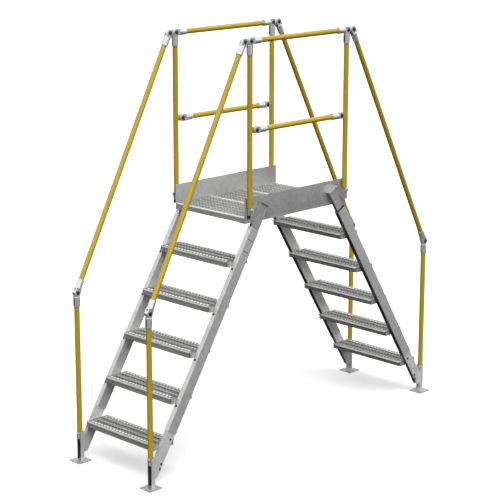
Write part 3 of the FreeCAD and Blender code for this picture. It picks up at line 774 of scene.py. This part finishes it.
def add_end_plate(bm, depth, span, drop, grip, side):
    """Plate that closes an end, turned round the front and rear corners."""
    tone = bm.verts.layers.float.get("grip")
    path = end_plate_path(depth, span, grip)
    inner = []
    count = len(path)
    for index, (x, y) in enumerate(path):
        before = path[max(index - 1, 0)]
        after = path[min(index + 1, count - 1)]
        along = Vector((after[0] - before[0], after[1] - before[1])).normalized()
        inner.append((x + along.y * grip.sheet, y - along.x * grip.sheet))
    loops = []
    for z in (-PLATE_BELOW, -drop):
        loop = []
        for index, (x, y) in enumerate(path + inner[::-1]):
            vert = bm.verts.new((x, side * y, z))
            # The return behind the slit is painted shade; the rest takes the plate's tone.
            behind = index < 2 or index >= 2 * count - 2
            vert[tone] = -1.0 if behind else PLATE_TONE
            loop.append(vert)
        loops.append(loop)
    faces = ring_faces(bm, *loops)
    total = len(loops[0])
    for step in range(count - 1):
        for loop in loops:
            faces.append(bm.faces.new((loop[step], loop[step + 1],
                                       loop[total - 2 - step], loop[total - 1 - step])))
    bmesh.ops.recalc_face_normals(bm, faces=faces)


def add_turned(bm, place, outline, sides):
    """A shape turned about its own Z: outline pairs of radius and height, closed at both ends."""
    loops = []
    for radius, height in outline:
        loop = []
        for step in range(sides):
            turn = 2 * math.pi * step / sides
            loop.append(bm.verts.new(place @ Vector((
                radius * math.cos(turn), radius * math.sin(turn), height))))
        loops.append(loop)
    for first, second in zip(loops, loops[1:]):
        ring_faces(bm, first, second)
    bm.faces.new(loops[0][::-1])
    bm.faces.new(loops[-1])


def seat_axes(seat, direction):
    """A place on a seat whose Z lies along a direction."""
    turn = Vector(direction).to_track_quat("Z", "Y").to_matrix().to_4x4()
    return Matrix.Translation(seat) @ turn


def add_hex_bolt(bm, seat, direction, bolt):
    """Hexagon head on a washer, standing on its seat along a direction."""
    place = seat_axes(seat, direction)
    ring, sheet = bolt.washer / 2, bolt.washer_sheet
    add_turned(bm, place, [(ring * 0.97, 0.0), (ring, sheet * 0.3), (ring, sheet * 0.8),
                           (ring * 0.96, sheet)], ROUND_SIDES)
    corner = bolt.across / 2 / HEX_FLAT
    top = sheet + bolt.head
    add_turned(bm, place, [(corner * 0.99, sheet), (corner, sheet + bolt.head * 0.1),
                           (corner, top - bolt.head * 0.18), (corner * 0.86, top)], 6)
    add_turned(bm, place, [(corner * 0.62, top), (corner * 0.6, top + CROWN)], CROWN_SIDES)


def add_nut_end(bm, seat, direction, bolt):
    """Washer, nut and the bolt's threaded end, standing on its seat."""
    add_hex_bolt(bm, seat, direction, bolt)
    start = bolt.washer_sheet + bolt.head
    radius = bolt.shank / 2
    outline = []
    for turn in range(THREAD_TURNS):
        low = start + turn * THREAD_PITCH
        outline += [(radius * 0.88, low), (radius, low + THREAD_RISE)]
    outline.append((radius * 0.8, start + THREAD_LENGTH))
    add_turned(bm, seat_axes(seat, direction), outline, THREAD_SIDES)


def add_swivel_head(bm, seat, direction, bolt):
    """Hexagon head over a swivel bolt's end."""
    place = seat_axes(seat, direction)
    washer, sheet = bolt.swivel_washer / 2, bolt.washer_sheet
    add_turned(bm, place, [(washer, EYE_GAP), (washer, sheet * 0.8), (washer * 0.95, sheet)],
               ROUND_SIDES)
    corner = bolt.swivel_across / 2 / HEX_FLAT
    top = bolt.swivel_head
    add_turned(bm, place, [(corner, EYE_GAP), (corner, top * 0.8), (corner * 0.84, top)], 6)
    add_turned(bm, place, [(corner * 0.7, top), (corner * 0.45, top + CROWN)], CROWN_SIDES)


def add_round_head(bm, seat, direction, bolt):
    """Low domed head of a carriage bolt."""
    radius, height = bolt.dome / 2, bolt.dome_height
    outline = [(radius, 0.0)]
    for step in range(1, DOME_STEPS):
        turn = math.pi / 2 * step / DOME_STEPS
        outline.append((radius * math.cos(turn), height * math.sin(turn)))
    add_turned(bm, seat_axes(seat, direction), outline, CROWN_SIDES)


def quarters():
    """Signs of X and Y of the four corners."""
    return [(x, y) for x in (-1, 1) for y in (-1, 1)]


def slope_point(along, out):
    """X and Z of a point of the left flight, along its slope and square to it."""
    return Vector((SLOPE_X * along - SLOPE_Z * out - NOSING_X,
                   SLOPE_Z * along + SLOPE_X * out + NOSING_Z))


def flight_point(along, out, y, x_sign, y_sign):
    """A point of any flight from its place along the slope and square to it."""
    x, z = slope_point(along, out)
    return Vector((-x_sign * x, y_sign * y, z))


def slope_box(low, high, front, rear):
    """Corners of a plate that lies along the slope."""
    return [slope_point(along, out)
            for along, out in ((high, front), (high, rear), (low, rear), (low, front))]


def rounded_corner(before, corner, after, radius):
    """Points of an arc in place of a corner."""
    first = (before - corner).normalized()
    second = (after - corner).normalized()
    half = first.angle(second) / 2
    start, end = (corner + side * radius / math.tan(half) for side in (first, second))
    middle = corner + (first + second).normalized() * radius / math.sin(half)
    points = []
    for step in range(LEG_CORNER_STEPS + 1):
        spoke = start.lerp(end, step / LEG_CORNER_STEPS) - middle
        points.append(middle + spoke.normalized() * radius)
    return points


def leg_outline():
    """Outline of the left leg's outer side in X and Z."""
    rear_along = (LEG_LOW_Z - NOSING_Z - SLOPE_X * COVER_REAR) / SLOPE_Z
    front_along = (NOSING_X - LEG_BACK_X + SLOPE_Z * COVER_FRONT) / SLOPE_X
    top_rear = slope_point(LEG_TOP, COVER_REAR)
    corner = slope_point(rear_along, COVER_REAR)
    foot = Vector((-LEG_BACK_X, LEG_LOW_Z))
    return ([slope_point(LEG_TOP, COVER_FRONT), top_rear]
            + rounded_corner(top_rear, corner, foot, LEG_CORNER)
            + [foot, slope_point(front_along, COVER_FRONT)])


def add_slab(bm, outline, x_sign, y_near, y_far):
    """A flat plate between two planes of Y, from its outline on the left flight."""
    loops = [[bm.verts.new((-x_sign * x, y, z)) for x, z in outline] for y in (y_near, y_far)]
    faces = [bm.faces.new(loops[0]), bm.faces.new(loops[1][::-1])]
    faces += ring_faces(bm, *loops)
    bmesh.ops.recalc_face_normals(bm, faces=faces)


def add_socket_slot(bm, top, facing):
    """A dark strip of painted shade for the slot down the side of an upright socket, following its
    roundness.
    """
    reach = SLOT_WIDTH / 2 / SOCKET_RADIUS
    rows = []
    for drop in (0.0, SLOT_LENGTH):
        row = []
        for step in range(SLOT_STEPS + 1):
            turn = reach * (2 * step / SLOT_STEPS - 1)
            row.append(bm.verts.new((top[0] + facing * SOCKET_RADIUS * math.cos(turn),
                                     top[1] + SOCKET_RADIUS * math.sin(turn), top[2] - drop)))
        rows.append(row)
    faces = [bm.faces.new((rows[0][step], rows[0][step + 1], rows[1][step + 1], rows[1][step]))
             for step in range(SLOT_STEPS)]
    if faces[0].normal.x * facing < 0:
        bmesh.ops.reverse_faces(bm, faces=faces)


class PLATFORM_OT_finishes(bpy.types.Operator):
    """Make the finishes and lay them on the CAD nodes"""
    bl_idname = "platform.finishes"
    bl_label = "Finishes"

    def execute(self, context):
        finish = context.scene.platform_finish
        groups = {"spangle": make_spangle_group(), "wear": make_wear_group(),
                  "shelter": make_hollow_shade_group(), "peel": make_peel_group()}
        for name, (tint, *rest) in DIPPED.items():
            dipped_steel(name, tinted(finish.galvanised, tint), *rest, groups)
        grip_steel("Galvanised grip plank", finish.plank, groups)
        powder_coat("Yellow powder coat", finish.yellow, groups)
        bright_zinc("Bright zinc fitting", finish.zinc, 0.14, groups)
        bright_zinc("Zinc bolt", tinted(finish.zinc, 0.8), 0.3, groups)
        blackened_bolt("Oiled bolt")
        for name, item in frame["nodes"].items():
            slot = slot_of(name)
            item.data.materials.clear()
            stem = name.split("_")[0]
            item.data.materials.append(
                bpy.data.materials[NODE_FINISH[stem]] if stem in NODE_FINISH else material_of(slot))
        return {"FINISHED"}


def lay_pan(name, mesh, x, z, turn):
    """A pierced pan in place of its plain node, its nosing at X."""
    item = piece_of_mesh("grip_" + name, mesh, "grip_planks")
    item.matrix_world = Matrix.Translation((x, 0, z)) @ Matrix.Rotation(turn, 4, "Z")
    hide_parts(name)
    smooth_by_angle(item, SHEET_CREASE)


class PLATFORM_OT_treads(bpy.types.Operator):
    """Pierced and folded treads in place of the plain ones"""
    bl_idname = "platform.treads"
    bl_label = "Treads"

    def execute(self, context):
        meshes = {}
        for name in TREADS:
            low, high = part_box(name)
            size = high - low
            key = round(size.y, 4)
            if key not in meshes:
                meshes[key] = pan_mesh("pierced_tread", size, True)
            nosing, turn = (low.x, 0) if "left" in name else (high.x, math.pi)
            lay_pan(name, meshes[key], nosing, high.z, turn)
        return {"FINISHED"}


class PLATFORM_OT_deck(bpy.types.Operator):
    """Pierced planks of the deck in place of the plain ones"""
    bl_idname = "platform.deck"
    bl_label = "Deck planks"

    def execute(self, context):
        low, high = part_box(PLANKS[0])
        mesh = pan_mesh("pierced_plank", high - low, False)
        for name in PLANKS:
            low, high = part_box(name)
            lay_pan(name, mesh, low.x, high.z, 0)
        return {"FINISHED"}


class PLATFORM_OT_covers(bpy.types.Operator):
    """Closed outer sides of the stubs and legs, strips of painted shadow on the stringers, and
    painted shade in the slots of the clamped sockets
    """
    bl_idname = "platform.covers"
    bl_label = "Covers and slots"

    def execute(self, context):
        painted_shade = bpy.data.materials["Oiled bolt"]
        stub = slope_box(STUB_LOW, STUB_TOP, COVER_FRONT, COVER_REAR)
        for stem, outline, far, finish in (
                ("stub", stub, COVER_Y - STUB_RECESS, "Galvanised channel"),
                ("leg", leg_outline(), COVER_Y, "Galvanised foot")):
            for side, end in CORNERS:
                bm = bmesh.new()
                add_slab(bm, outline, X_SIGN[end], Y_SIGN[side] * (far - COVER_SHEET),
                         Y_SIGN[side] * far)
                finished_piece("%s_cover_%s_%s" % (stem, side, end), bm, "galvanised_frame",
                               bpy.data.materials[finish])
        # Dark strips of painted shadow on the stringers and over the stubs.
        bm = bmesh.new()
        for x_sign, y_sign in quarters():
            for low, high, front, rear, y_near, y_far in SHADOW_STRIPS[x_sign]:
                add_slab(bm, slope_box(low, high, front, rear), x_sign,
                         y_sign * y_near, y_sign * y_far)
        finished_piece("stringer_shadow_strips", bm, "galvanised_frame", painted_shade)
        # Strips of painted shade for the sockets' slots.
        bm = bmesh.new()
        for x_sign, y_sign in quarters():
            for x, z, facing in SOCKET_SLOTS:
                add_socket_slot(bm, (x_sign * x, y_sign * POST_Y, z), x_sign * facing)
        finished_piece("socket_slot_shade", bm, "zinc_fittings", painted_shade)
        return {"FINISHED"}


class PLATFORM_OT_bolts(bpy.types.Operator):
    """Bolts of the swivel fittings, stringers, legs and posts"""
    bl_idname = "platform.bolts"
    bl_label = "Bolts"

    def execute(self, context):
        swivel, stringer, leg, post = [], [], [], []
        for x_sign, y_sign in quarters():
            for x, z in SWIVEL_BOLTS:
                for face in (-1, 1):
                    seat = (x_sign * x, y_sign * POST_Y + face * EYE_HALF, z)
                    swivel.append((add_swivel_head, seat, (0, face, 0)))
            for step in range(BOLTS_A_STRINGER):
                seat = flight_point(-BOLT_BELOW_NOSING - step * NOSING_PITCH, STRINGER_FRONT,
                                    STRINGER_BOLT_Y, x_sign, y_sign)
                stringer.append((add_round_head, seat, (x_sign * SLOPE_Z, 0, SLOPE_X)))
            for along, out in LEG_BOLTS:
                seat = flight_point(along, out, COVER_Y, x_sign, y_sign)
                leg.append((add_round_head, seat, (0, y_sign, 0)))
            x, z = BRACKET_BOLT
            post.append((add_nut_end, (x_sign * x, y_sign * BRACKET_FACE_Y, z), (0, y_sign, 0)))
            seat = (x_sign * (FOOT_X + SPIGOT_RADIUS), y_sign * POST_Y, FOOT_BOLT_Z)
            post.append((add_hex_bolt, seat, (x_sign, 0, 0)))
        for name, slot, finish, heads in (
                ("swivel_bolts", "zinc_fittings", "Oiled bolt", swivel),
                ("stringer_bolts", "galvanised_frame", "Oiled bolt", stringer),
                ("leg_bolts", "galvanised_frame", "Oiled bolt", leg),
                ("post_bolts", "galvanised_frame", "Zinc bolt", post)):
            bm = bmesh.new()
            for add_head, seat, direction in heads:
                add_head(bm, seat, direction, context.scene.platform_bolts)
            item = finished_piece(name, bm, slot, bpy.data.materials[finish])
            smooth_by_angle(item, BOLT_CREASE)
        return {"FINISHED"}


class PLATFORM_OT_studio(bpy.types.Operator):
    """Camera, pale floor, room light and lamps"""
    bl_idname = "platform.studio"
    bl_label = "Studio"

    def execute(self, context):
        studio = context.scene.platform_studio
        make_camera(context, studio)
        make_floor(context, studio)
        make_room(context, studio)
        make_lamps(context, studio)
        context.scene.view_settings.view_transform = "Standard"
        return {"FINISHED"}


def make_camera(context, studio):
    """The photo's camera, as fitted."""
    data = bpy.data.cameras.new("Camera")
    data.lens = studio.lens
    data.sensor_width = SENSOR_WIDTH
    camera = bpy.data.objects.new("Camera", data)
    context.scene.collection.objects.link(camera)
    camera.location = CAMERA_PLACE
    look = (CAMERA_TARGET - CAMERA_PLACE).to_track_quat("-Z", "Y")
    camera.rotation_euler = (look.to_matrix() @ Matrix.Rotation(CAMERA_ROLL, 3, "Z")).to_euler()
    context.scene.camera = camera


def make_floor(context, studio):
    """A floor that the camera sees pale, and that throws little light up at the platform."""
    bm = bmesh.new()
    bmesh.ops.create_grid(bm, x_segments=1, y_segments=1, size=studio.floor_size / 2)
    mesh = mesh_of("Floor", bm)
    floor = bpy.data.objects.new("Floor", mesh)
    context.scene.collection.objects.link(floor)
    floor.location.z = -FLOOR_DROP
    tree, shader = new_material("Pale floor", 0.0)
    seen = add_node(tree, "ShaderNodeLightPath").outputs["Is Camera Ray"]
    feed(tree, shader, [
        ("Base Color", blended(tree, seen, FLOOR_UNSEEN, FLOOR_SEEN)),
        ("Roughness", 0.9), ("Specular IOR Level", 0.0), ("Emission Color", (1, 1, 1, 1)),
        ("Emission Strength", stretched(tree, seen, 0.0, 1.0, 0.0, studio.glow))])
    mesh.materials.append(bpy.data.materials["Pale floor"])


def make_room(context, studio):
    """Soft light from all round, with a white background for the camera and reflections."""
    world = bpy.data.worlds.new("Studio")
    context.scene.world = world
    world.use_nodes = True
    tree = world.node_tree
    path = add_node(tree, "ShaderNodeLightPath").outputs
    seen = combined(tree, "MAXIMUM", path["Is Camera Ray"], path["Is Transmission Ray"])
    seen = combined(tree, "MAXIMUM", seen, path["Is Glossy Ray"])
    way = add_node(tree, "ShaderNodeSeparateXYZ", [
        ("Vector", add_node(tree, "ShaderNodeTexCoord").outputs["Generated"])])
    dome = stretched(tree, way.outputs["Z"], 0.0, DOME_TOP,
                     studio.fill * HORIZON_SHARE, studio.fill * ZENITH_SHARE)
    unseen = product(tree, dome, combined(tree, "SUBTRACT", 1.0, seen))
    feed(tree, tree.nodes["Background"], [
        ("Color", (1, 1, 1, 1)), ("Strength", combined(tree, "ADD", seen, unseen))])


def make_lamps(context, studio):
    """Broad soft lights, so that the pale floor is lit evenly to its edges."""
    for name, direction, spread, share in LAMPS:
        data = bpy.data.lights.new(name, "SUN")
        data.angle = math.radians(spread)
        data.energy = studio.key * share
        lamp = bpy.data.objects.new(name, data)
        context.scene.collection.objects.link(lamp)
        lamp.visible_glossy = False
        lamp.location = Vector(direction) * LAMP_REACH
        lamp.rotation_euler = Vector(direction).to_track_quat("Z", "Y").to_euler()


class PLATFORM_PT_panel(bpy.types.Panel):
    """Pieces, finishes and studio of the crossover platform"""
    bl_idname = "PLATFORM_PT_panel"
    bl_label = "Crossover platform"
    bl_space_type = "VIEW_3D"
    bl_region_type = "UI"
    bl_category = "Platform"

    def draw(self, context):
        layout = self.layout
        for kind in STEPS:
            layout.operator(kind.bl_idname)
        for holder in HOLDERS:
            box = layout.box()
            group = getattr(context.scene, holder)
            for name in group.__annotations__:
                box.prop(group, name)


STEPS = (PLATFORM_OT_finishes, PLATFORM_OT_treads, PLATFORM_OT_deck, PLATFORM_OT_covers,
         PLATFORM_OT_bolts, PLATFORM_OT_studio)
HOLDERS = {
    "platform_grip": GripPattern, "platform_bolts": BoltSizes,
    "platform_finish": PlatformFinish, "platform_studio": StudioSettings}
CLASSES = tuple(HOLDERS.values()) + STEPS + (PLATFORM_PT_panel,)


def register():
    for kind in CLASSES:
        bpy.utils.register_class(kind)
    for name, kind in HOLDERS.items():
        setattr(bpy.types.Scene, name, PointerProperty(type=kind))


def unregister():
    for name in HOLDERS:
        delattr(bpy.types.Scene, name)
    for kind in reversed(CLASSES):
        bpy.utils.unregister_class(kind)


def main():
    register()
    bpy.ops.platform.finishes()
    bpy.ops.platform.treads()
    bpy.ops.platform.deck()
    bpy.ops.platform.covers()
    bpy.ops.platform.bolts()
    bpy.ops.platform.studio()


if __name__ == "__main__":
    main()
